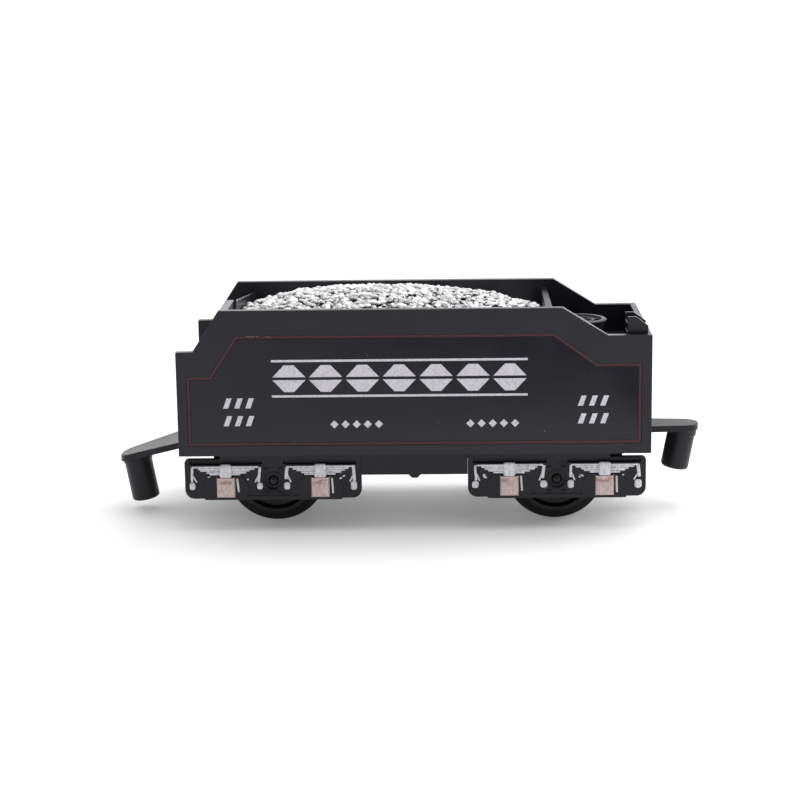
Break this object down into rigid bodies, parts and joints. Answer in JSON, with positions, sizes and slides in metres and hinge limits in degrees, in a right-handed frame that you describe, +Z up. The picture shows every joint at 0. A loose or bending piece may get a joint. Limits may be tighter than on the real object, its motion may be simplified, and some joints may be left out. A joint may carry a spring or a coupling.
{
  "type": "toy railway tender",
  "caption": "Toy train coal tender with a heaped coal load, water deck, two sprung-look trucks on flanged wheels and swinging peg drawbars at both ends.",
  "frame": {"origin": "middle of the whole length and width, at the rail under the wheel flanges", "axes": "+X to the rear of the tender, +Y to its right-hand side, +Z up"},
  "size_m": [0.147, 0.048, 0.0574],
  "materials": {
    "body_plastic": "satin black moulded plastic",
    "frame_plastic": "satin black moulded plastic",
    "wheel_plastic": "semi-gloss black",
    "coal_silver": "silver paint dry-brushed over black lumps",
    "axle_steel": "blackened steel",
    "screw_steel": "zinc plated",
    "silver_paint": "silver paint on the springs",
    "copper_paint": "coppery pink paint on the axle boxes",
    "red_line": "dark red paint in the panel groove",
    "print_ink": "pale printed marks"
  },
  "bodies": {
    "tender": {"body_shell": "body_plastic", "coal_load": "coal_silver", "filler_hatch": "body_plastic", "rear_ladder": "body_plastic", "chassis": "frame_plastic", "truck_frame_front_left": "frame_plastic", "truck_frame_front_right": "frame_plastic", "truck_frame_rear_left": "frame_plastic", "truck_frame_rear_right": "frame_plastic", "front_pivot_bush": "screw_steel", "front_body_screw": "screw_steel", "rear_pivot_bush": "screw_steel", "rear_body_screw": "screw_steel"},
    "front_wheelset": {"front_axle": "axle_steel", "wheel_front_left": "wheel_plastic", "wheel_front_right": "wheel_plastic"},
    "rear_wheelset": {"rear_axle": "axle_steel", "wheel_rear_left": "wheel_plastic", "wheel_rear_right": "wheel_plastic"},
    "front_drawbar": {"front_drawbar": "frame_plastic"},
    "rear_drawbar": {"rear_drawbar": "frame_plastic"}
  },
  "joints": [
    {"name": "front_axle_spin", "type": "hinge", "parent": "tender", "child": "front_wheelset", "pos_m": [-0.0327, 0, 0.0125], "axis": [0, 1, 0], "continuous": true},
    {"name": "rear_axle_spin", "type": "hinge", "parent": "tender", "child": "rear_wheelset", "pos_m": [0.0367, 0, 0.0125], "axis": [0, 1, 0], "continuous": true},
    {"name": "front_drawbar_swing", "type": "hinge", "parent": "tender", "child": "front_drawbar", "pos_m": [-0.0455, 0, 0.0205], "axis": [0, 0, 1], "range_deg": [-15, 15]},
    {"name": "rear_drawbar_swing", "type": "hinge", "parent": "tender", "child": "rear_drawbar", "pos_m": [0.0495, 0, 0.0205], "axis": [0, 0, 1], "range_deg": [-20, 20]}
  ]
}
